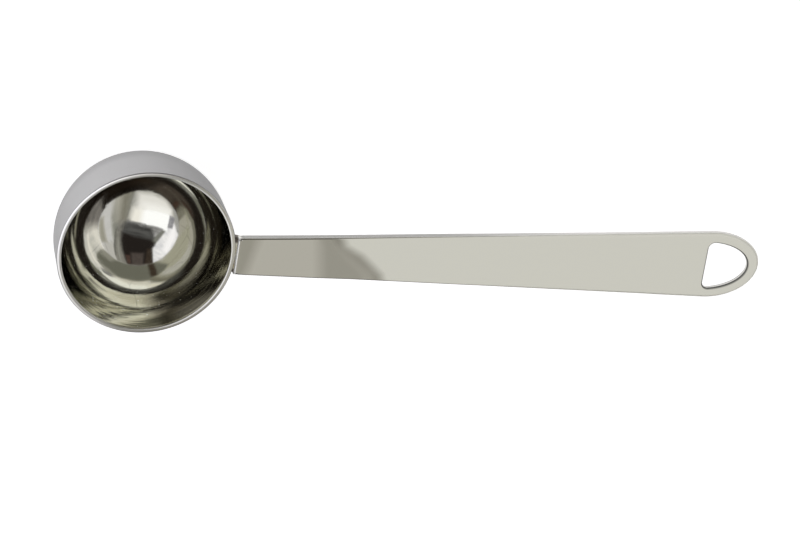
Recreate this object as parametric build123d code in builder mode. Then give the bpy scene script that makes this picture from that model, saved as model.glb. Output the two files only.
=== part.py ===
# Measuring spoon: a drawn round-bottomed bowl with a flat tapered handle welded to its side.
# Millimetres. The origin is the centre of the rim circle. +Z points up out of the bowl, and
# +X runs along the handle to its hanging loop.
import os
from math import acos, asin, atan2, cos, degrees, hypot, radians, sin, tan

from build123d import *

# Bowl: a deep-drawn cup with a slightly flatter crown at the bottom, a round knuckle that
# makes most of its side and a short, slightly flared upper wall. The radii are those of the
# inside.
bowl_crown_radius = 27.5
bowl_crown_half_angle = 13.7
bowl_knuckle_radius = 18.83
bowl_knuckle_centre_depth = 8.523
bowl_wall = 1.2
bowl_flare_angle = 2.0
rim_outer_round = 0.35
rim_inner_round = 0.2

# Handle: a flat bar that widens from the bowl to an elliptical end
handle_length = 138.3
handle_thickness = 2.1
handle_root_width = 9.8
handle_end_width = 18.55
handle_end_round_length = 13.4
handle_edge_round = 0.5
handle_root_corner_share = 1.2
handle_rise_above_rim = 0.6
handle_root_gap = 0.08

# Hanging hole: a D shape with its straight side across the handle, inside a loop of metal
hole_length = 11.7
hole_corner_round = 1.6
hole_edge_round = 0.7
loop_tip_width = 2.7
loop_side_width = 2.55

# Weld: a seam that fills the gap at the handle's root, with a fillet under the handle
weld_side_inset = 0.6
weld_top_below_rim = 0.2
weld_leg = 1.4
weld_throat_sag = 0.15

quarter_turn = 90.0
flare = radians(bowl_flare_angle)
crown_half_angle = radians(bowl_crown_half_angle)

# The knuckle is tangent to the crown, so its centre lies on the line from the crown's centre
# to the circle where the two meet
centre_spacing = bowl_crown_radius - bowl_knuckle_radius
knuckle_centre_x = centre_spacing * sin(crown_half_angle)
knuckle_centre = (knuckle_centre_x, -bowl_knuckle_centre_depth)
crown_centre = (0, centre_spacing * cos(crown_half_angle) - bowl_knuckle_centre_depth)


def rim_radius(depth_in_sheet):
    # Where the flared wall, tangent to the knuckle, reaches the rim's plane
    knuckle_radius = bowl_knuckle_radius + depth_in_sheet
    wall_foot_radius = knuckle_centre_x + knuckle_radius * cos(flare)
    wall_foot_depth = bowl_knuckle_centre_depth + knuckle_radius * sin(flare)
    return wall_foot_radius + wall_foot_depth * tan(flare)


def draw_skin(depth_in_sheet):
    # One skin of the sheet, drawn from its lowest point on the axis up to the rim
    crown = CenterArc(
        crown_centre,
        bowl_crown_radius + depth_in_sheet,
        -quarter_turn,
        bowl_crown_half_angle,
    )
    knuckle = CenterArc(
        knuckle_centre,
        bowl_knuckle_radius + depth_in_sheet,
        bowl_crown_half_angle - quarter_turn,
        quarter_turn - bowl_crown_half_angle - bowl_flare_angle,
    )
    wall = Line(knuckle @ 1, (rim_radius(depth_in_sheet), 0))
    return crown @ 0, wall @ 1


inside = 0
outside = bowl_wall
rim_inner_radius = rim_radius(inside)
rim_outer_radius = rim_radius(outside)

with BuildPart() as bowl:
    with BuildSketch(Plane.XZ) as bowl_section:
        with BuildLine():
            inner_bottom, inner_rim = draw_skin(inside)
            outer_bottom, outer_rim = draw_skin(outside)
            Line(inner_bottom, outer_bottom)
            Line(inner_rim, outer_rim)
        make_face()
        rim_corners = bowl_section.vertices().group_by(Axis.Y)[-1].sort_by(Axis.X)
        fillet(rim_corners[0], radius=rim_inner_round)
        outer_rim_corner = bowl_section.vertices().group_by(Axis.Y)[-1].sort_by(Axis.X)[-1]
        fillet(outer_rim_corner, radius=rim_outer_round)
    revolve(axis=Axis.Z)
bowl.part.label = "bowl"

# The handle's sides leave the root's corners and meet the end's ellipse in a tangent
handle_root_x = rim_outer_radius + handle_root_gap
handle_tip_x = handle_root_x + handle_length
handle_top_z = handle_rise_above_rim
handle_under_z = handle_top_z - handle_thickness
handle_root_corner_round = handle_root_corner_share * handle_edge_round
end_centre_x = handle_tip_x - handle_end_round_length
root_x_in_ellipse = (handle_root_x - end_centre_x) / handle_end_round_length
root_y_in_ellipse = handle_root_width / handle_end_width
root_bearing = atan2(root_y_in_ellipse, root_x_in_ellipse)
root_reach = hypot(root_x_in_ellipse, root_y_in_ellipse)
side_tangent_angle = degrees(root_bearing - acos(1 / root_reach))

hole_tip_x = handle_tip_x - loop_tip_width
hole_side_x = hole_tip_x - hole_length
hole_half_width = handle_end_width / 2 - loop_side_width

with BuildPart() as handle:
    with BuildSketch(Plane.XY.offset(handle_under_z)) as handle_outline:
        with BuildLine():
            end_curve = EllipticalCenterArc(
                (end_centre_x, 0),
                handle_end_round_length,
                handle_end_width / 2,
                start_angle=-side_tangent_angle,
                arc_size=2 * side_tangent_angle,
            )
            near_side = Line((handle_root_x, -handle_root_width / 2), end_curve @ 0)
            far_side = Line((handle_root_x, handle_root_width / 2), end_curve @ 1)
            Line(near_side @ 0, far_side @ 0)
        make_face()
        fillet(handle_outline.vertices().group_by(Axis.X)[0], radius=handle_root_corner_round)
    extrude(amount=handle_thickness)
    fillet(handle.faces().filter_by(Axis.Z).edges(), radius=handle_edge_round)
    with BuildSketch(Plane.XY.offset(handle_under_z)) as hole_outline:
        with BuildLine():
            hole_curve = EllipticalCenterArc(
                (hole_side_x, 0),
                hole_length,
                hole_half_width,
                start_angle=-quarter_turn,
                arc_size=2 * quarter_turn,
            )
            Line(hole_curve @ 0, hole_curve @ 1)
        make_face()
        fillet(hole_outline.vertices(), radius=hole_corner_round)
    extrude(amount=handle_thickness, mode=Mode.SUBTRACT)
    hole_edges = [
        edge
        for face in handle.faces().filter_by(Axis.Z)
        for wire in face.inner_wires()
        for edge in wire.edges()
    ]
    fillet(hole_edges, radius=hole_edge_round)
handle.part.label = "handle"

# The weld starts inside the bowl's sheet and reaches into the handle, and both are then cut
# out of it, so that it meets them face to face
weld_half_length = handle_root_width / 2 - weld_side_inset
weld_start_x = (rim_inner_radius + rim_outer_radius) / 2
weld_half_angle = degrees(asin(weld_half_length / handle_root_x))
weld_top_z = -weld_top_below_rim
weld_foot_z = handle_under_z - weld_leg
weld_foot_x = rim_outer_radius + weld_foot_z * tan(flare)
weld_toe_x = handle_root_x + weld_leg
weld_cover_z = handle_under_z + handle_thickness / 2

with BuildPart() as weld_bead:
    with BuildSketch(Plane.XZ.rotated((0, 0, -weld_half_angle))) as fillet_section:
        with BuildLine():
            foot = (weld_foot_x, weld_foot_z)
            toe = (weld_toe_x, handle_under_z)
            weld_face = SagittaArc(foot, toe, weld_throat_sag)
            Polyline(
                weld_face @ 1,
                (weld_toe_x, weld_cover_z),
                (weld_start_x, weld_cover_z),
                (weld_start_x, weld_foot_z),
                weld_face @ 0,
            )
        make_face()
    revolve(axis=Axis.Z, revolution_arc=2 * weld_half_angle)
    with BuildSketch(Plane.XY.offset(handle_under_z)):
        with Locations(((weld_start_x + handle_root_x + handle_edge_round) / 2, 0)):
            Rectangle(handle_root_x + handle_edge_round - weld_start_x, 2 * weld_half_length)
    extrude(amount=weld_top_z - handle_under_z)
    add(bowl.part, mode=Mode.SUBTRACT)
    add(handle.part, mode=Mode.SUBTRACT)
weld_bead.part.label = "weld_bead"

# What the bowl holds when it is filled level with the rim
with BuildPart() as contents:
    with BuildSketch(Plane.XZ):
        with BuildLine():
            bottom, brim = draw_skin(inside)
            Polyline(brim, (0, 0), bottom)
        make_face()
    revolve(axis=Axis.Z)
cubic_mm_per_ml = 1000
print("level capacity, ml:", round(contents.part.volume / cubic_mm_per_ml, 2))
print("rim radii, mm:", round(rim_inner_radius, 3), round(rim_outer_radius, 3))
print("depth inside, mm:", round(-contents.part.bounding_box().min.Z, 3))
print("overall length, mm:", round(handle_tip_x + rim_outer_radius, 2))

os.makedirs("parts", exist_ok=True)
export_step(bowl.part, "parts/bowl.step")
export_step(handle.part, "parts/handle.step")
export_step(weld_bead.part, "parts/weld_bead.step")
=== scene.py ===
from math import acos, asin, atan2, ceil, cos, hypot, pi, radians, sin, tan

import bmesh
import bpy
from mathutils import Euler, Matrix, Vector, noise


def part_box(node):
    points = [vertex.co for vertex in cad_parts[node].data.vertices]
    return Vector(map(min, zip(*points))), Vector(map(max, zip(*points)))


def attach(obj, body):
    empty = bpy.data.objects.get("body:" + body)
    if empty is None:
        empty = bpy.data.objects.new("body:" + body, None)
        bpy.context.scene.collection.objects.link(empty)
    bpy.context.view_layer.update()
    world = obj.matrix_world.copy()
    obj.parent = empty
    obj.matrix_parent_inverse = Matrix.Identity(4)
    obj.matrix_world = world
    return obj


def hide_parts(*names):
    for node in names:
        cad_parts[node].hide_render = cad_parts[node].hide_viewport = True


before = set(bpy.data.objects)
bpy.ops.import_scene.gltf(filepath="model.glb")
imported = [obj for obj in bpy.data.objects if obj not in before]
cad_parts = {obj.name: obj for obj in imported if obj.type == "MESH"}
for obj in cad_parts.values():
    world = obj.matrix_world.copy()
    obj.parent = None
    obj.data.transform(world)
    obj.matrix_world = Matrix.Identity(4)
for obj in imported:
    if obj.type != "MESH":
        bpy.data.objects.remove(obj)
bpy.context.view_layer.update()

mm = 0.001
turn = 2 * pi
quarter_turn = pi / 2

bowl_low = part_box("bowl")[0]
handle_low, handle_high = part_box("handle")
weld_low, weld_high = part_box("weld_bead")


# Meshes
def new_piece(name, mesh, replaced, materials):
    # One visible piece that stands for a CAD node and rides on the spoon's only body
    piece = bpy.data.objects.new(name, mesh)
    bpy.context.collection.objects.link(piece)
    for material in materials:
        mesh.materials.append(material)
    mesh.shade_smooth()
    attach(piece, "root")
    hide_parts(replaced)
    return piece


def finished(mesh, name):
    # The mesh data of a bmesh, with its faces turned outwards
    bmesh.ops.recalc_face_normals(mesh, faces=mesh.faces)
    data = bpy.data.meshes.new(name)
    mesh.to_mesh(data)
    mesh.free()
    return data


def clamped(share):
    return min(1.0, max(0.0, share))


def evenly(start, end, count, first=0):
    # Numbers from start to end in equal steps, which may leave out the first few
    return [start + (end - start) * i / count for i in range(first, count + 1)]


def arc_points(centre, radius, start, end, step):
    # Points of an arc in a plane, with angles in radians and about one step of length between them
    count = max(2, ceil(abs(end - start) * radius / step))
    angles = evenly(start, end, count)
    return [(centre[0] + radius * cos(a), centre[1] + radius * sin(a)) for a in angles]


def points_between(start, end, count):
    # Points of a straight line in equal steps, without its two ends
    return list(zip(*(evenly(a, b, count, 1)[:-1] for a, b in zip(start, end))))


def line_points(start, end, step):
    # Points of a straight line, without its two ends and about one step apart
    length = hypot(end[0] - start[0], end[1] - start[1])
    return points_between(start, end, max(1, ceil(length / step)))


def add_strip(mesh, rings, layer=None):
    # Faces between each closed ring of points and the next. Where there is a layer, a point's
    # fourth number goes into it.
    verts = []
    for ring in rings:
        verts.append([mesh.verts.new(point[:3]) for point in ring])
        if layer is not None:
            for vert, point in zip(verts[-1], ring):
                vert[layer] = point[3]
    for lower, upper in zip(verts, verts[1:]):
        for i in range(len(lower)):
            j = (i + 1) % len(lower)
            mesh.faces.new((lower[i], lower[j], upper[j], upper[i]))
    return verts


# Bowl: a crown, a knuckle and a flared wall, with the same centres for both skins of the sheet
bowl_wall = 1.2 * mm
bowl_flare = radians(2.0)
crown_radius = 27.5 * mm
crown_half_angle = radians(13.7)
knuckle_radius = 18.83 * mm
inside_depth = -bowl_low.z - bowl_wall
rim_inner_round = 0.15 * mm
rim_outer_round = 0.3 * mm
rim_crown_height = 0.02 * mm
# How much of the rim's outer round has the satin of the outside
satin_share = 0.7

bowl_step = 0.7 * mm
rim_step = 0.05 * mm
rim_top_steps = 8
bowl_segments = 320
on_axis = 1e-9
inside_slot, rim_slot, outside_slot = range(3)

crown_centre = (0.0, crown_radius - inside_depth)
knuckle_centre = (
    (crown_radius - knuckle_radius) * sin(crown_half_angle),
    crown_centre[1] - (crown_radius - knuckle_radius) * cos(crown_half_angle),
)
down = -quarter_turn
crown_end = down + crown_half_angle
knuckle_end = -bowl_flare


def rim_radius(sheet_depth):
    # Where one skin of the flared wall reaches the rim's plane
    radius = knuckle_radius + sheet_depth
    foot_x = knuckle_centre[0] + radius * cos(bowl_flare)
    foot_z = knuckle_centre[1] - radius * sin(bowl_flare)
    return foot_x - foot_z * tan(bowl_flare)


rim_inner_radius = rim_radius(0.0)
rim_outer_radius = rim_radius(bowl_wall)


def skin_points(sheet_depth, wall_top):
    # One skin of the sheet from the axis up to the height where the rim's rounding starts
    crown = arc_points(crown_centre, crown_radius + sheet_depth, down, crown_end, bowl_step)
    knuckle = arc_points(
        knuckle_centre, knuckle_radius + sheet_depth, crown_end, knuckle_end, bowl_step
    )
    wall_head = (rim_radius(sheet_depth) + wall_top * tan(bowl_flare), wall_top)
    wall = line_points(knuckle[-1], wall_head, bowl_step)
    return crown + knuckle[1:] + wall


def rim_points():
    # The rim from the inner wall to the outer wall: a small round, a barely crowned top, a round
    inner_x = rim_inner_radius - rim_inner_round * tan(bowl_flare) + rim_inner_round
    outer_x = rim_outer_radius - rim_outer_round * tan(bowl_flare) - rim_outer_round
    inner_centre = (inner_x, -rim_inner_round - rim_crown_height)
    outer_centre = (outer_x, -rim_outer_round - rim_crown_height)
    inner = arc_points(inner_centre, rim_inner_round, pi + bowl_flare, quarter_turn, rim_step)
    outer = arc_points(outer_centre, rim_outer_round, quarter_turn, -bowl_flare, rim_step)
    width = outer_x - inner_x
    shares = [i / rim_top_steps for i in range(1, rim_top_steps)]
    top = [(inner_x + width * t, -rim_crown_height * (2 * t - 1) ** 2) for t in shares]
    return inner, top, outer


def build_bowl_mesh():
    # The section turned round the axis. The "lathe" layer holds the cosine and sine of each
    # point's bearing, and its distance in millimetres along the section from the inside's lowest
    # point.
    inner_round, top, outer_round = rim_points()
    inner_skin = skin_points(0.0, inner_round[0][1])
    outer_skin = skin_points(bowl_wall, outer_round[-1][1])
    rim = inner_round + top + outer_round
    profile = inner_skin + rim + outer_skin[::-1]
    rim_start = len(inner_skin)
    satin_start = rim_start + len(rim) - round(satin_share * len(outer_round))

    mesh = bmesh.new()
    lathe = mesh.verts.layers.float_vector.new("lathe")
    rings = []
    travelled = 0.0
    before = profile[0]
    for radius, height in profile:
        travelled += hypot(radius - before[0], height - before[1])
        before = (radius, height)
        if radius < on_axis:
            vert = mesh.verts.new((0, 0, height))
            vert[lathe] = (0, 0, travelled / mm)
            rings.append([vert] * bowl_segments)
            continue
        ring = []
        for segment in range(bowl_segments):
            angle = turn * segment / bowl_segments
            vert = mesh.verts.new((radius * cos(angle), radius * sin(angle), height))
            vert[lathe] = (cos(angle), sin(angle), travelled / mm)
            ring.append(vert)
        rings.append(ring)
    for index, (lower, upper) in enumerate(zip(rings, rings[1:]), start=1):
        slot = inside_slot if index < rim_start else rim_slot
        if index >= satin_start:
            slot = outside_slot
        for segment in range(bowl_segments):
            after = (segment + 1) % bowl_segments
            corners = [lower[segment], upper[segment], upper[after], lower[after]]
            face = mesh.faces.new(list(dict.fromkeys(corners)))
            face.material_index = slot
    return finished(mesh, "spoon_bowl")


# Handle: a flat bar with an elliptical end, edges that are softer round the loop, and a D hole
handle_root_width = 9.8 * mm
handle_end_round_length = 13.4 * mm
root_corner_round = 0.3 * mm
# The root is a little out of square and fuller, within these lengths of its end
root_zone = 2.0 * mm
root_skew = 0.03
root_lead = 0.18 * mm
root_flare_length = 30.0 * mm
near_bulge = 0.15 * mm
near_bulge_fade = 10.0 * mm
flare_width = 0.2 * mm
# The loop's fullness and its soft edges grow over a part of the length, in shares of the tip's X
loop_flare_start = 0.55
loop_softening_start = 0.5
loop_growth = 0.3

hole_length = 11.2 * mm
hole_shift = 0.18 * mm
hole_corner_round = 1.6 * mm
loop_tip_width = 3.2 * mm
loop_side_width = 2.55 * mm

edge_round_at_root = 0.6 * mm
edge_round_near_bowl = 0.45 * mm
edge_round_at_loop = 0.98 * mm
hole_edge_round = 0.95 * mm

edge_steps = 7
root_steps = 10
root_corner_steps = 8
side_steps = 120
end_steps = 72
hole_flat_steps = 12
hole_corner_steps = 16
hole_end_steps = 48
corner_tries = 2000

root_x = handle_low.x
tip_x = handle_high.x
handle_top = handle_high.z
handle_under = handle_low.z
half_root_width = handle_root_width / 2
half_end_width = (handle_high.y - handle_low.y) / 2
end_centre_x = tip_x - handle_end_round_length


def oval_point(centre, reach, angle, side):
    # A point of an ellipse as (x, y, normal x, normal y). The side is 1 for the outward normal
    # and -1 for the inward one.
    normal = Vector((cos(angle) / reach[0], sin(angle) / reach[1])).normalized() * side
    on_x = centre[0] + reach[0] * cos(angle)
    on_y = centre[1] + reach[1] * sin(angle)
    return on_x, on_y, normal.x, normal.y


def both_halves(half):
    # A closed outline, anticlockwise from the handle's tip end, from its far half
    return half[::-1] + [(x, -y, nx, -ny) for x, y, nx, ny in half[1:-1]]


def outline_of_handle():
    # The handle's outline as (x, y, normal x, normal y), with the normal into the metal. The
    # sides leave the root's corners and meet the end's ellipse in a tangent.
    reach_x = (root_x - end_centre_x) / handle_end_round_length
    reach_y = half_root_width / half_end_width
    touch = atan2(reach_y, reach_x) - acos(1 / hypot(reach_x, reach_y))
    touch_x = end_centre_x + handle_end_round_length * cos(touch)
    touch_y = half_end_width * sin(touch)
    slope = atan2(touch_y - half_root_width, touch_x - root_x)
    corner_x = root_x + root_corner_round
    corner_y = half_root_width + root_corner_round * (tan(slope) - 1 / cos(slope))
    half = [(root_x, y, 1.0, 0.0) for y in evenly(0.0, corner_y, root_steps)[:-1]]
    half += [
        oval_point((corner_x, corner_y), (root_corner_round, root_corner_round), angle, -1)
        for angle in evenly(pi, quarter_turn + slope, root_corner_steps)
    ]
    half += [
        (x, y, sin(slope), -cos(slope))
        for x, y in points_between(half[-1][:2], (touch_x, touch_y), side_steps)
    ]
    half += [
        oval_point((end_centre_x, 0.0), (handle_end_round_length, half_end_width), angle, -1)
        for angle in evenly(touch, 0.0, end_steps)
    ]
    half = [(x, y * waisted(x), nx, ny) for x, y, nx, ny in half]
    return [(x + skewed(x, y), fuller(x, y), nx, ny) for x, y, nx, ny in both_halves(half)]


def waisted(x):
    # The sides are barely hollow, so the bar is a little fuller at its root and round its loop
    at_root = max(0.0, 1 - (x - root_x) / root_flare_length) ** 2
    at_loop = clamped((x - loop_flare_start * tip_x) / (loop_growth * tip_x))
    half_width = half_root_width + (half_end_width - half_root_width) * x / tip_x
    return 1 + flare_width * max(at_root, at_loop) / half_width


def skewed(x, y):
    # The root is cut a little out of square, and its near corner reaches towards the bowl
    return (root_skew * y - root_lead) * max(0.0, 1 - (x - root_x) / root_zone)


def fuller(x, y):
    # The near side bulges a little beside the root
    if y > 0:
        return y
    share = clamped((root_x + root_flare_length - x) / near_bulge_fade)
    return y * (1 + near_bulge * share / half_root_width)


def outline_of_hole():
    # The D-shaped hole's outline as (x, y, normal x, normal y), with the normal into the metal.
    # The circle in its corner touches the straight side and the ellipse.
    flat_x = tip_x - loop_tip_width - hole_length
    reach = (hole_length, half_end_width - loop_side_width - hole_shift)
    corner_x = flat_x + hole_corner_round
    least_miss = None
    for angle in evenly(quarter_turn, 0.0, corner_tries)[:-1]:
        x, y, nx, ny = oval_point((flat_x, 0.0), reach, angle, 1)
        normal = Vector((nx, ny))
        centre = Vector((x, y)) - normal * hole_corner_round
        miss = abs(centre.x - corner_x)
        if least_miss is None or miss < least_miss:
            least_miss = miss
            touch, corner, corner_end = angle, centre, atan2(normal.y, normal.x)
    half = [(flat_x, y, -1.0, 0.0) for y in evenly(0.0, corner.y, hole_flat_steps)[:-1]]
    half += [
        oval_point(corner, (hole_corner_round, hole_corner_round), angle, 1)
        for angle in evenly(pi, corner_end, hole_corner_steps)
    ]
    half += [
        oval_point((flat_x, 0.0), reach, angle, 1)
        for angle in evenly(touch, 0.0, hole_end_steps, 1)
    ]
    return [(x, y - hole_shift, nx, ny) for x, y, nx, ny in both_halves(half)]


def softened(x):
    # The edge's roundness falls just past the root, and grows again towards the loop
    share = clamped((x - loop_softening_start * tip_x) / (loop_growth * tip_x))
    along = edge_round_near_bowl + (edge_round_at_loop - edge_round_near_bowl) * share
    root_share = max(0.0, 1 - (x - root_x) / root_zone)
    return along + (edge_round_at_root - along) * root_share


def edge_rings(outline, roundness):
    # Rings of points that go round the edge of the bar, from the top face to the under face. A
    # point's fourth number says how far it lies round the edge, from 0 on the flat to 1 on the
    # side.
    mid = (handle_top + handle_under) / 2
    half_thick = (handle_top - handle_under) / 2
    stacks = []
    for side in (1, -1):
        stack = []
        for i in range(edge_steps + 1):
            angle = quarter_turn * i / edge_steps
            ring = []
            for x, y, nx, ny in outline:
                size = roundness(x)
                inset = size * (1 - sin(angle))
                z = mid + side * (half_thick - size * (1 - cos(angle)))
                ring.append((x + nx * inset, y + ny * inset, z, i / edge_steps))
            stack.append(ring)
        stacks.append(stack)
    return stacks[0] + stacks[1][::-1]


def fill_between(mesh, loops):
    # A flat face between two closed loops of points
    edges = []
    for loop in loops:
        for i in range(len(loop)):
            edges.append(mesh.edges.get((loop[i], loop[(i + 1) % len(loop)])))
    bmesh.ops.triangle_fill(mesh, use_beauty=True, edges=edges)


def build_handle_mesh():
    mesh = bmesh.new()
    side = mesh.verts.layers.float.new("side")
    bore = mesh.verts.layers.float.new("bore")
    outer = add_strip(mesh, edge_rings(outline_of_handle(), softened), side)
    hole = add_strip(mesh, edge_rings(outline_of_hole(), lambda x: hole_edge_round), bore)
    fill_between(mesh, (outer[0], hole[0]))
    fill_between(mesh, (outer[-1], hole[-1]))
    return finished(mesh, "spoon_handle")


# Weld: a lumpy seam in the gap at the root, with a fillet under the handle
weld_columns = 90
weld_crest_rise = 0.27 * mm
weld_reach = 0.25 * mm
weld_throat = 0.12 * mm
weld_ripple = 0.05 * mm
weld_ripples = 40
weld_lump = 0.09 * mm
weld_lumps = 9
weld_lump_row = (3.1, 0.4)
# A shallow place in the crest, on the far side, in shares of the seam's half length
weld_dip_depth = 0.12 * mm
weld_dip_middle = 0.407
weld_dip_half_length = 0.16
# How far the seam's faces reach into the bowl's sheet and the handle
crest_bite = 0.1 * mm
root_bite = 0.2 * mm
# Corners of the fillet, from its toe under the handle or from its foot on the bowl's wall
toe_edge = Vector((-0.1, -0.02)) * mm
toe_shoulder = Vector((-0.55, -0.35)) * mm
foot_shoulder = Vector((0.55, 0.6)) * mm
foot_edge = Vector((0.02, 0.1)) * mm
foot_bite = Vector((-0.15, 0.2)) * mm


def build_weld_mesh():
    half_angle = asin(weld_high.y / root_x)
    toe = Vector((weld_high.x, handle_under))
    foot = Vector((rim_outer_radius + weld_low.z * tan(bowl_flare), weld_low.z))
    rings = []
    for share in evenly(-1.0, 1.0, weld_columns):
        angle = half_angle * share
        lump = noise.noise(Vector((share * weld_lumps, *weld_lump_row)))
        dip = max(0.0, 1 - ((share - weld_dip_middle) / weld_dip_half_length) ** 2)
        crest = weld_high.z + weld_crest_rise + weld_lump * min(0.0, lump) - weld_dip_depth * dip
        reach = root_x / cos(angle) + weld_reach
        wall_top = rim_outer_radius + crest * tan(bowl_flare)
        sag = Vector((0.0, -weld_throat - weld_ripple * sin(share * weld_ripples + 2 * lump)))
        # The seam's section, as radius and height: its crest, the handle's side, and the fillet
        section = [
            (wall_top - crest_bite, crest),
            ((wall_top + reach) / 2, crest),
            (reach, crest),
            (reach, handle_under + root_bite),
            toe + toe_edge,
            toe + toe_shoulder + sag,
            foot + foot_shoulder + sag,
            foot + foot_edge,
            foot + foot_bite,
        ]
        rings.append([(r * cos(angle), r * sin(angle), z) for r, z in section])
    mesh = bmesh.new()
    verts = add_strip(mesh, rings)
    mesh.faces.new(verts[0][::-1])
    mesh.faces.new(verts[-1])
    return finished(mesh, "weld_seam")


# Materials
class Surface:
    # A metal with a plain colour and roughness, which nodes then vary, and layers of relief
    def __init__(self, name, colour, roughness, metallic=1.0):
        self.material = bpy.data.materials.new(name)
        self.material.use_nodes = True
        self.nodes = self.material.node_tree.nodes
        self.links = self.material.node_tree.links
        self.shader = self.nodes["Principled BSDF"]
        self.shader.inputs["Base Color"].default_value = (*colour, 1)
        self.shader.inputs["Metallic"].default_value = metallic
        self.shader.inputs["Roughness"].default_value = roughness
        self.height = None

    def node(self, kind, **inputs):
        made = self.nodes.new(kind)
        for key, value in inputs.items():
            made.inputs[key.replace("_", " ")].default_value = value
        return made

    def attribute(self, name):
        made = self.nodes.new("ShaderNodeAttribute")
        made.attribute_name = name
        return made

    def place(self, attribute=None, scale=(1, 1, 1)):
        # Texture space: the piece's own coordinates in metres, or a named attribute of its mesh
        if attribute:
            output = self.attribute(attribute).outputs["Vector"]
        else:
            output = self.nodes.new("ShaderNodeTexCoord").outputs["Object"]
        mapping = self.node("ShaderNodeMapping", Scale=scale)
        self.links.new(output, mapping.inputs["Vector"])
        return mapping.outputs["Vector"]

    def part(self, axis, attribute=None):
        # One component of the place
        split = self.nodes.new("ShaderNodeSeparateXYZ")
        self.links.new(self.place(attribute), split.inputs[0])
        return split.outputs[axis]

    def value(self, attribute):
        # A named number attribute of the mesh
        return self.attribute(attribute).outputs["Fac"]

    def noise(self, place, scale=1.0, detail=3.0, roughness=0.5):
        made = self.node("ShaderNodeTexNoise", Scale=scale, Detail=detail, Roughness=roughness)
        self.links.new(place, made.inputs["Vector"])
        return made.outputs["Fac"]

    def range(self, value, low, high, to_low=0.0, to_high=1.0):
        made = self.node(
            "ShaderNodeMapRange", From_Min=low, From_Max=high, To_Min=to_low, To_Max=to_high
        )
        self.links.new(value, made.inputs["Value"])
        return made.outputs["Result"]

    def math(self, operation, first, second=0.0):
        made = self.nodes.new("ShaderNodeMath")
        made.operation = operation
        for socket, value in zip(made.inputs, (first, second)):
            if isinstance(value, (int, float)):
                socket.default_value = value
            else:
                self.links.new(value, socket)
        return made.outputs[0]

    def product(self, first, second):
        return self.math("MULTIPLY", first, second)

    def distance(self, value, middle):
        # How far a value lies from a middle one, either way
        return self.math("ABSOLUTE", self.math("SUBTRACT", value, middle))

    def centred(self, noise_value):
        # A noise moved so that its middle is at zero
        return self.math("SUBTRACT", noise_value, 0.5)

    def towards(self, direction):
        # The cosine between a point's bearing on the bowl and a direction
        made = self.nodes.new("ShaderNodeVectorMath")
        made.operation = "DOT_PRODUCT"
        self.links.new(self.place("lathe"), made.inputs[0])
        made.inputs[1].default_value = (*direction, 0.0)
        return made.outputs["Value"]

    def blend(self, share, first, second):
        # A colour between two others, which are tuples or sockets
        made = self.nodes.new("ShaderNodeMixRGB")
        self.links.new(share, made.inputs["Fac"])
        for key, colour in (("Color1", first), ("Color2", second)):
            if isinstance(colour, tuple):
                made.inputs[key].default_value = (*colour, 1)
            else:
                self.links.new(colour, made.inputs[key])
        return made.outputs["Color"]

    def ramp(self, value, stops):
        made = self.nodes.new("ShaderNodeValToRGB")
        elements = made.color_ramp.elements
        while len(elements) < len(stops):
            elements.new(0.5)
        for element, (position, colour) in zip(elements, stops):
            element.position = position
            element.color = (*colour, 1)
        self.links.new(value, made.inputs["Fac"])
        return made.outputs["Color"]

    def relief(self, value, strength, distance):
        # Adds one layer of bump on those already there
        made = self.node("ShaderNodeBump", Strength=strength, Distance=distance)
        self.links.new(value, made.inputs["Height"])
        if self.height:
            self.links.new(self.height, made.inputs["Normal"])
        self.height = made.outputs["Normal"]
        self.links.new(self.height, self.shader.inputs["Normal"])

    def drive(self, socket, value):
        self.links.new(value, self.shader.inputs[socket])


mirror_steel = (0.73, 0.72, 0.635)
scratch_grey = (0.25, 0.25, 0.24)
dust_white = (0.9, 0.9, 0.88)
# Places on the bowl's inside, in millimetres along its section from the lowest point
joint_along = 6.6
dusty_along = (14.0, 20.0)
wall_along = (22.0, 28.0)
# The painted shade low on the handle's side: where it lies along the section, its bearing and its
# tones
painted_shade_along = (23.0, 27.0)
painted_shade_direction = (0.64, -0.77)
painted_shade_tones = ((0.30, (0.14, 0.132, 0.12)), (0.75, (0.30, 0.28, 0.25)))


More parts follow.
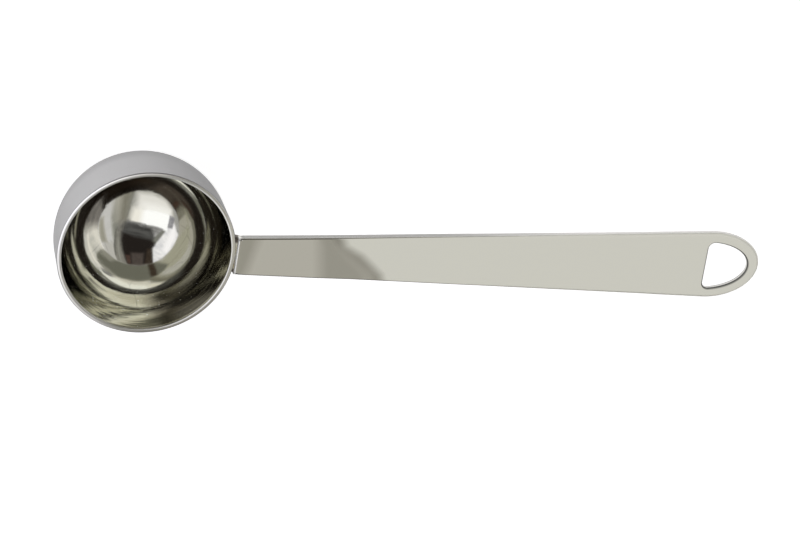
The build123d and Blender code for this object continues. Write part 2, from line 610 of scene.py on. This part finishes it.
def inside_mirror():
    surface = Surface("bowl_inside_mirror", mirror_steel, 0.05)
    scratches = surface.noise(surface.place("lathe", (1.2, 1.2, 14)), detail=4.0, roughness=0.7)
    waves = surface.noise(surface.place("lathe", (1.0, 1.0, 0.35)), detail=1.0)
    surface.drive("Roughness", surface.range(scratches, 0.3, 0.75, 0.04, 0.10))
    surface.relief(waves, 0.25, 0.05 * mm)
    surface.relief(scratches, 0.06, 0.01 * mm)

    # Turning ripples round the upper wall, which break its reflections into streaks
    along = surface.part("Z", "lathe")
    rings = surface.noise(surface.place("lathe", (1.8, 1.8, 1.1)), detail=2.0)
    ripple = surface.product(surface.centred(rings), surface.range(along, *wall_along))
    surface.relief(ripple, 1.0, 0.03 * mm)

    # An uneven line where the crown meets the knuckle
    at_joint = surface.range(surface.distance(along, joint_along), 0.2, 1.1, 1.0, 0.0)
    dents = surface.noise(surface.place("lathe", (7.0, 7.0, 0.6)), detail=2.0)
    surface.relief(surface.product(surface.centred(dents), at_joint), 1.0, 0.02 * mm)

    # Hairline scratches in patches, and dust, mostly on the upper wall
    cracks = surface.node("ShaderNodeTexVoronoi", Scale=150.0, Randomness=1.0)
    cracks.feature = "DISTANCE_TO_EDGE"
    surface.links.new(surface.place(scale=(1.0, 0.6, 1.0)), cracks.inputs["Vector"])
    hairline = surface.range(cracks.outputs["Distance"], 0.0, 0.012, 1.0, 0.0)
    patches = surface.range(surface.noise(surface.place(), 90.0, detail=2.0), 0.50, 0.58)
    hairline = surface.product(hairline, patches)
    dust = surface.range(surface.noise(surface.place(), 2200.0, detail=0.0), 0.80, 0.86)
    dust = surface.product(dust, surface.range(along, *dusty_along, 0.1, 1.0))

    # The wall has painted shade low on the handle's side
    at_painted_shade_side = surface.range(surface.towards(painted_shade_direction), 0.82, 0.94)
    painted_shade = surface.product(at_painted_shade_side, surface.range(along, *painted_shade_along))
    colour = surface.blend(painted_shade, mirror_steel, surface.ramp(rings, painted_shade_tones))
    colour = surface.blend(surface.product(hairline, 0.5), colour, scratch_grey)
    colour = surface.blend(dust, colour, dust_white)
    surface.drive("Base Color", colour)
    surface.drive("Metallic", surface.range(dust, 0.0, 1.0, 1.0, 0.2))
    return surface.material


rim_steel = (0.79, 0.78, 0.74)
# Painted light on sides of the rim: a bearing, where its share starts and is full, and a colour
rim_painted_light = (
    (150, 0.60, 0.95, (0.98, 0.975, 0.965)),
    (30, 0.75, 0.97, (0.96, 0.95, 0.90)),
    (265, 0.90, 0.99, (0.58, 0.57, 0.53)),
)


def rim_polish():
    surface = Surface("bowl_rim_polish", rim_steel, 0.12)
    nicks = surface.noise(surface.place("lathe", (6, 6, 20)))
    surface.drive("Roughness", surface.range(nicks, 0.3, 0.7, 0.10, 0.18))
    surface.relief(nicks, 0.1, 0.02 * mm)
    # Painted highlights to the far left and the far right, and painted shade on the near side
    colour = rim_steel
    for bearing, start, full, other in rim_painted_light:
        direction = (cos(radians(bearing)), sin(radians(bearing)))
        share = surface.range(surface.towards(direction), start, full)
        colour = surface.blend(share, colour, other)
    surface.drive("Base Color", colour)
    return surface.material


# Painted light and shade of the bowl's outside, then its specular tint
outside_painted_light = (0.535, 0.53, 0.53)
outside_painted_shade = (0.35, 0.345, 0.345)
outside_painted_edge_shade = (0.10, 0.10, 0.10)
outside_tint = (0.75, 0.75, 0.75)


def outside_satin():
    surface = Surface("bowl_outside_satin", (0.40, 0.395, 0.40), 0.42)
    surface.shader.inputs["Specular Tint"].default_value = (*outside_tint, 1)
    grain = surface.noise(surface.place("lathe", (3, 3, 9)), detail=5.0, roughness=0.65)
    surface.drive("Roughness", surface.range(grain, 0.25, 0.75, 0.36, 0.48))
    surface.relief(grain, 0.12, 0.02 * mm)
    # Painted light, lighter away from the handle, and painted shade where it turns away from the
    # eye
    painted_light_share = surface.range(surface.part("X", "lathe"), -0.9, 0.6)
    colour = surface.blend(painted_light_share, outside_painted_light, outside_painted_shade)
    weight = surface.node("ShaderNodeLayerWeight", Blend=0.5)
    edge = surface.range(weight.outputs["Facing"], 0.6, 1.0, 0.0, 0.45)
    colour = surface.blend(edge, colour, outside_painted_edge_shade)
    surface.drive("Base Color", colour)
    return surface.material


flat_steel = (0.72, 0.71, 0.655)
# The sides' painted shade, darker by the bowl than by the loop
side_painted_shade_by_bowl = (0.37, 0.365, 0.35)
side_painted_shade_by_loop = (0.62, 0.61, 0.59)
shaded_satin = (0.30, 0.29, 0.275)
root_painted_highlight = (0.97, 0.96, 0.93)
bore_dark = (0.14, 0.14, 0.135)
bore_pale = (0.60, 0.59, 0.56)
bore_grey = (0.20, 0.20, 0.19)
satin_roughness = 0.34
# Along X: where the satin edge starts and is full, and where the near side's shade starts to
# fade and is gone
loop_satin_along = (75 * mm, 115 * mm)
shade_along = (60 * mm, 115 * mm)


def handle_polish():
    surface = Surface("handle_polish", flat_steel, 0.14)
    grain = surface.noise(surface.place(scale=(60, 2600, 2600)), detail=4.0, roughness=0.6)
    waves = surface.noise(surface.place(scale=(45, 70, 70)), detail=1.0)
    surface.relief(waves, 0.2, 0.2 * mm)
    surface.relief(grain, 0.03, 0.01 * mm)

    # The flats are polished. The sides, the whole loop's edge and the root's edge are satin.
    side = surface.value("side")
    along = surface.part("X")
    near_loop = surface.range(along, *loop_satin_along)
    past_root = surface.range(along, root_x + 0.5 * mm, root_x + 1.0 * mm)
    on_side = surface.product(surface.range(side, 0.55, 0.9), past_root)
    on_edge = surface.range(side, 0.0, 0.3)
    rooted = surface.math("SUBTRACT", on_edge, past_root)
    satin = surface.math("MAXIMUM", on_side, surface.product(on_edge, near_loop))
    satin = surface.math("MAXIMUM", satin, rooted)
    polished = surface.range(grain, 0.3, 0.7, 0.06, 0.12)
    roughness = surface.math("ADD", polished, surface.product(satin, satin_roughness))
    surface.drive("Roughness", roughness)
    # The sides carry painted shade, darker by the bowl and lighter by the loop
    colour = surface.blend(near_loop, side_painted_shade_by_bowl, side_painted_shade_by_loop)
    colour = surface.blend(on_side, flat_steel, colour)

    # The near side is shaded as far as the loop
    near_side = surface.range(surface.part("Y"), -3.0 * mm, -4.0 * mm)
    before_loop = surface.range(along, *shade_along, 1.0, 0.0)
    shaded = surface.product(surface.product(near_side, before_loop), on_edge)
    colour = surface.blend(shaded, colour, shaded_satin)

    # The hole's walls mirror a dark line along both of their edges
    bore = surface.range(surface.value("bore"), 0.1, 0.3)
    lined = surface.ramp(surface.range(surface.part("Z"), handle_under, handle_top), (
        (0.38, bore_dark),
        (0.48, bore_pale),
        (0.62, bore_pale),
        (0.72, bore_dark),
        (0.86, bore_grey),
        (0.96, flat_steel),
    ))
    colour = surface.blend(bore, colour, lined)

    # The root's upper edge has a painted highlight
    at_root = surface.product(rooted, surface.range(side, 0.75, 0.92, 1.0, 0.0))
    colour = surface.blend(at_root, colour, root_painted_highlight)
    surface.drive("Base Color", colour)
    return surface.material


# Heat colours, from brown to straw to pale gold. The brown of the seam's two ends starts and is
# full at these distances from them.
heat_colours = (
    (0.30, (0.34, 0.22, 0.08)),
    (0.37, (0.85, 0.70, 0.34)),
    (0.48, (0.97, 0.90, 0.60)),
    (0.70, (0.98, 0.95, 0.78)),
)
burnt_brown = (0.07, 0.045, 0.03)
burnt_start = 1.3 * mm
burnt_full = 0.7 * mm


def weld_tint():
    surface = Surface("weld_heat_tint", (0.6, 0.5, 0.25), 0.3, metallic=0.0)
    place = surface.place()
    blotches = surface.noise(place, 420.0)
    colour = surface.ramp(blotches, heat_colours)
    # Its two ends are burnt brown
    off_middle = surface.distance(surface.part("Y"), 0.0)
    end = weld_high.y
    burnt = surface.range(off_middle, end - burnt_start, end - burnt_full, 0.0, 0.95)
    surface.drive("Base Color", surface.blend(burnt, colour, burnt_brown))
    surface.drive("Roughness", surface.range(blotches, 0.3, 0.7, 0.30, 0.50))
    surface.relief(surface.noise(place, 1600.0, detail=2.0), 0.5, 0.1 * mm)
    return surface.material


bowl_piece = new_piece(
    "spoon_bowl", build_bowl_mesh(), "bowl",
    (inside_mirror(), rim_polish(), outside_satin()),
)
new_piece("spoon_handle", build_handle_mesh(), "handle", (handle_polish(),))
new_piece("weld_seam", build_weld_mesh(), "weld_bead", (weld_tint(),))


# Studio: a pale light table under a ceiling of cards that the polished steel mirrors
ceiling = 1.05
card_spacing = 0.001
ceiling_cards = []
low_ceiling = 0.009
low_card_spacing = 0.0003
low_cards = []
streak_scale = 9.0
streak_detail = 4.0
streak_edges = (0.36, 0.64)
sharpest_corner = 0.5
camera_place = Vector((-127.487, 349.563, 676.172)) * mm


def glow(name, colour, other, stretch, slant):
    # Light in streaks of two colours, which fades out where the mesh's "cover" falls to nothing
    material = bpy.data.materials.new(name)
    material.use_nodes = True
    nodes = material.node_tree.nodes
    links = material.node_tree.links
    nodes.remove(nodes["Principled BSDF"])
    emission = nodes.new("ShaderNodeEmission")
    emission.inputs["Color"].default_value = (*colour, 1)
    if other:
        place = nodes.new("ShaderNodeTexCoord")
        mapping = nodes.new("ShaderNodeMapping")
        mapping.vector_type = "TEXTURE"
        mapping.inputs["Rotation"].default_value = (0, 0, radians(slant))
        mapping.inputs["Scale"].default_value = (stretch, 1, 1)
        streaks = nodes.new("ShaderNodeTexNoise")
        streaks.inputs["Scale"].default_value = streak_scale
        streaks.inputs["Detail"].default_value = streak_detail
        shades = nodes.new("ShaderNodeValToRGB")
        for element, edge, shade in zip(shades.color_ramp.elements, streak_edges, (colour, other)):
            element.position = edge
            element.color = (*shade, 1)
        links.new(place.outputs["Object"], mapping.inputs["Vector"])
        links.new(mapping.outputs["Vector"], streaks.inputs["Vector"])
        links.new(streaks.outputs["Fac"], shades.inputs["Fac"])
        links.new(shades.outputs["Color"], emission.inputs["Color"])
    clear = nodes.new("ShaderNodeBsdfTransparent")
    cover = nodes.new("ShaderNodeAttribute")
    cover.attribute_name = "cover"
    blend = nodes.new("ShaderNodeMixShader")
    links.new(cover.outputs["Fac"], blend.inputs["Fac"])
    links.new(clear.outputs[0], blend.inputs[1])
    links.new(emission.outputs[0], blend.inputs[2])
    links.new(blend.outputs[0], nodes["Material Output"].inputs["Surface"])
    return material


def grown(outline, distance):
    # The outline moved outwards by a distance, or inwards where the distance is negative
    points = [Vector(point) for point in outline]
    area = sum(a.cross(b) for a, b in zip(points, points[1:] + points[:1]))
    side = 1 if area > 0 else -1
    moved = []
    for before, point, after in zip(points[-1:] + points[:-1], points, points[1:] + points[:1]):
        first = (point - before).normalized()
        second = (after - point).normalized()
        bisector = Vector((first.y + second.y, -first.x - second.x)) * side
        reach = distance / max(sharpest_corner, bisector.length / 2)
        moved.append(point + bisector.normalized() * reach)
    return moved


def hang(name, outline, feather, level, material):
    # A flat card at one level, which fades out across its feathered edge
    loops = [grown(outline, -feather / 2), grown(outline, feather / 2)]
    verts = [(x, y, level) for loop in loops for x, y in loop]
    count = len(outline)
    faces = [tuple(range(count))]
    faces += [(i, (i + 1) % count, count + (i + 1) % count, count + i) for i in range(count)]
    data = bpy.data.meshes.new(name)
    data.from_pydata(verts, [], faces)
    cover = data.attributes.new("cover", "FLOAT", "POINT")
    cover.data.foreach_set("value", [1.0] * count + [0.0] * count)
    data.materials.append(material)
    made = bpy.data.objects.new(name, data)
    bpy.context.collection.objects.link(made)
    return made


def card(name, outline, feather, colour, other=None, stretch=1.0, slant=0.0):
    # A card over the table. Its outline and feather are shares of its height. Each card hangs
    # a little lower than the one before it. Its streaks are stretched along their slant.
    level = ceiling - (len(ceiling_cards) + 1) * card_spacing
    points = [(x * level, y * level) for x, y in outline]
    material = glow(name, colour, other, stretch, slant)
    ceiling_cards.append(hang(name, points, feather * level, level, material))


def low_card(name, outline, feather, colour):
    # A small card low over the handle, which only reflections see. Its outline, in millimetres,
    # is where it shows on the handle's face.
    level = low_ceiling - len(low_cards) * low_card_spacing
    rise = (level - handle_top) / (camera_place.z - handle_top)
    points = []
    for x, y in outline:
        spot = Vector((x * mm, y * mm))
        points.append(spot + (spot - camera_place.xy) * rise)
    made = hang(name, points, feather * mm, level, glow(name, colour, None, 1.0, 0.0))
    made.visible_camera = False
    made.visible_diffuse = False
    made.visible_shadow = False
    low_cards.append(made)


table_half_size = 6.0
table_inputs = (
    ("Base Color", (0.93, 0.93, 0.93, 1)),
    ("Roughness", 0.9),
    ("Specular IOR Level", 0.1),
    ("Emission Color", (1, 1, 1, 1)),
    ("Emission Strength", 0.72),
)


def add_table():
    # A table top that glows a little, so that its shadows stay weak
    height = min(vert.co.z for vert in bowl_piece.data.vertices)
    corners = [
        (x * table_half_size, y * table_half_size, height)
        for x, y in ((-1, -1), (1, -1), (1, 1), (-1, 1))
    ]
    data = bpy.data.meshes.new("table")
    data.from_pydata(corners, [], [(0, 1, 2, 3)])
    material = bpy.data.materials.new("table_white")
    material.use_nodes = True
    shader = material.node_tree.nodes["Principled BSDF"]
    for socket, value in table_inputs:
        shader.inputs[socket].default_value = value
    data.materials.append(material)
    made = bpy.data.objects.new("table", data)
    bpy.context.collection.objects.link(made)


add_table()

# The room's walls
card("room", [(-3.2, -3.2), (3.2, -3.2), (3.2, 3.2), (-3.2, 3.2)], 0.3, (0.24, 0.245, 0.235))
card("room_right", [(0.6, -1.1), (3.2, -1.7), (3.2, 2.6), (0.6, 2.6)], 0.3, (0.60, 0.60, 0.56))
card("room_behind", [(0.2, 1.8), (2.4, 1.3), (2.4, 3.1), (-0.2, 3.1)], 0.4, (0.45, 0.45, 0.40))
card("pale_wall", [(0.52, -1.0), (1.25, -1.1), (1.25, 0.75), (0.62, 0.55)], 0.10,
     (0.74, 0.74, 0.79), other=(0.70, 0.70, 0.74), stretch=3.0, slant=30.0)
card("pale_wall_end", [(0.60, 0.40), (1.35, 0.60), (1.3, 1.5), (0.78, 1.5)], 0.16,
     (0.62, 0.61, 0.62))
card("left_grey", [(-1.7, 0.10), (-0.9, -0.05), (-0.75, -0.75), (-1.5, -0.65)], 0.2,
     (0.45, 0.45, 0.46))

# A window, pale cloths and a dark column
card("window", [(-2.0, 0.20), (-1.42, 0.12), (-1.25, 0.02), (-1.02, -0.17), (-0.94, -0.17),
                (-0.74, 0.03), (-0.45, 0.60), (-0.70, 1.65), (-1.5, 1.7)], 0.07,
     (0.86, 0.87, 0.98), other=(1.14, 1.14, 1.24), stretch=5.0, slant=-30.0)
card("window_bright", [(-1.30, 0.20), (-1.20, 0.02), (-1.02, -0.12), (-0.92, -0.05), (-0.85, 0.8),
                       (-1.25, 1.1)], 0.25, (1.26, 1.25, 1.38))
card("cloth_low", [(-0.95, -0.45), (-0.60, -0.92), (0.15, -0.98), (0.0, -0.45)], 0.14,
     (0.52, 0.51, 0.50))
card("cloth", [(-0.90, -0.30), (-0.82, -0.60), (-0.60, -0.78), (-0.2, -0.84), (0.12, -0.86),
               (0.13, -0.30)], 0.2, (1.00, 0.99, 1.02))
card("cloth_upper", [(-0.80, -0.20), (-0.78, -0.54), (-0.05, -0.54), (0.03, -0.20)], 0.2,
     (1.20, 1.20, 1.26))
card("column_side", [(0.30, -0.12), (0.30, -1.10), (0.70, -1.10), (0.58, -0.60), (0.46, -0.12)],
     0.2, (0.50, 0.49, 0.46))
card("column", [(0.24, -0.10), (0.22, -1.05), (0.46, -1.05), (0.41, -0.60), (0.38, -0.12)], 0.14,
     (0.25, 0.24, 0.21), other=(0.30, 0.29, 0.255), stretch=0.25)
card("chair", [(0.34, -1.22), (0.62, -1.14), (1.4, -2.5), (0.7, -2.7)], 0.16, (0.07, 0.05, 0.04))

# A soft light with its frame, and a picture
card("softbox", [(-0.77, 0.10), (-0.77, -0.38), (0.02, -0.37), (0.06, -0.08)], 0.06,
     (1.36, 1.38, 1.50))
card("softbox_end", [(-0.02, -0.04), (-0.04, -0.37), (0.13, -0.42), (0.20, -0.11)], 0.12,
     (1.14, 1.12, 1.12))
card("frame_strip", [(0.18, -0.16), (0.38, -0.16), (0.44, 0.02), (0.64, 0.58), (0.74, 1.0),
                     (0.80, 1.6), (0.36, 1.65), (0.36, 0.4)], 0.05,
     (0.20, 0.195, 0.19), other=(0.34, 0.33, 0.31), stretch=0.15, slant=-14.0)
card("frame_edge", [(0.44, 0.02), (0.48, 0.05), (0.66, 0.58), (0.74, 1.0), (0.70, 1.0),
                    (0.60, 0.62)], 0.03, (0.17, 0.168, 0.16))
card("frame_light", [(0.42, 0.30), (0.47, 0.30), (0.56, 0.62), (0.66, 1.4), (0.58, 1.5),
                     (0.48, 0.70)], 0.05, (0.34, 0.335, 0.32))
card("picture", [(-0.98, 0.0), (-0.99, -0.37), (-0.75, -0.39), (-0.74, -0.02)], 0.05,
     (0.30, 0.30, 0.35), other=(0.48, 0.48, 0.54))

# Dark shapes that reach in over the table
card("sleeve", [(-0.62, 0.04), (0.0, -0.10), (0.22, -0.15), (0.34, 0.3), (-0.36, 0.34)], 0.03,
     (0.24, 0.24, 0.25), other=(0.58, 0.58, 0.63), stretch=8.0, slant=-14.0)
card("sleeve_dark", [(-0.42, 0.30), (-0.36, 0.16), (-0.26, 0.02), (0.0, -0.075), (0.20, -0.125),
                     (0.28, -0.11), (0.34, 0.1), (0.34, 0.4), (-0.38, 0.40)], 0.08,
     (0.045, 0.045, 0.047), other=(0.12, 0.12, 0.125), stretch=6.0, slant=-16.0)
card("head", [(-0.43, 0.68), (-0.50, 0.56), (-0.48, 0.45), (-0.34, 0.35), (-0.14, 0.29),
              (0.06, 0.24), (0.24, 0.14), (0.34, 0.12), (0.39, 0.35), (0.41, 0.7), (0.40, 1.0),
              (0.38, 1.75), (-0.80, 1.85), (-0.72, 1.55)], 0.10, (0.022, 0.018, 0.017))
card("coat_left", [(-0.42, 0.66), (-0.30, 0.66), (-0.35, 1.9), (-0.75, 1.8), (-0.70, 1.5)], 0.08,
     (0.058, 0.042, 0.032), other=(0.040, 0.030, 0.024), stretch=0.25)
card("coat_front", [(-0.22, 0.85), (0.16, 0.80), (0.20, 1.8), (-0.28, 1.8)], 0.10,
     (0.060, 0.048, 0.046), other=(0.12, 0.10, 0.095), stretch=0.2)
card("coat_edge", [(0.20, 0.95), (0.34, 0.90), (0.36, 1.5), (0.22, 1.5)], 0.06,
     (0.12, 0.07, 0.06), other=(0.06, 0.04, 0.035), stretch=0.3, slant=-10.0)
card("collar", [(-0.5, 1.52), (0.5, 1.52), (0.6, 1.8), (-0.6, 1.8)], 0.12, (0.13, 0.115, 0.108))

# The studio's parts that show in the handle
low_card("plateau", [(46.5, 14.0), (50.0, 4.0), (54.5, 1.0), (57.3, -2.2), (60.0, -5.3),
                     (63.0, -14.0), (175.0, -22.0), (175.0, 45.0), (110.0, 45.0), (80.0, 22.0)],
         3.0, (0.805, 0.805, 0.775))
low_card("root_zone", [(21.0, 9.0), (21.0, -9.0), (60.0, -10.0), (57.0, -4.6), (53.8, -1.6),
                       (48.0, 3.4), (45.0, 6.0), (44.0, 10.0)], 4.5, (0.575, 0.562, 0.525))
low_card("band", [(42.5, 10.0), (43.5, 2.5), (45.0, -10.0), (57.5, -10.0), (56.5, -5.3),
                  (54.5, -2.6), (51.5, 0.2), (48.5, 3.4), (46.8, 5.0), (46.5, 10.0)], 4.0,
         (0.41, 0.40, 0.365))
low_card("root_end", [(21.0, 9.0), (21.0, -9.0), (24.5, -9.0), (28.0, 9.0)], 3.5,
         (0.40, 0.39, 0.35))

# World: a dim room round the table
room_colour = (0.13, 0.128, 0.12)
world = bpy.data.worlds.new("room")
bpy.context.scene.world = world
world.use_nodes = True
world.node_tree.nodes["Background"].inputs["Color"].default_value = (*room_colour, 1)

# Camera: above the far side of the bowl, at the photograph's viewing angle
camera_angles = (-28.4206, -12.0349, 7.6091)
camera_data = bpy.data.cameras.new("camera")
camera_data.lens = 139.86
camera_data.sensor_width = 36.0
camera_data.clip_start = 0.01
camera = bpy.data.objects.new("camera", camera_data)
camera.location = camera_place
camera.rotation_euler = Euler([radians(angle) for angle in camera_angles])
bpy.context.collection.objects.link(camera)
bpy.context.scene.camera = camera
bpy.context.scene.view_settings.view_transform = "Standard"
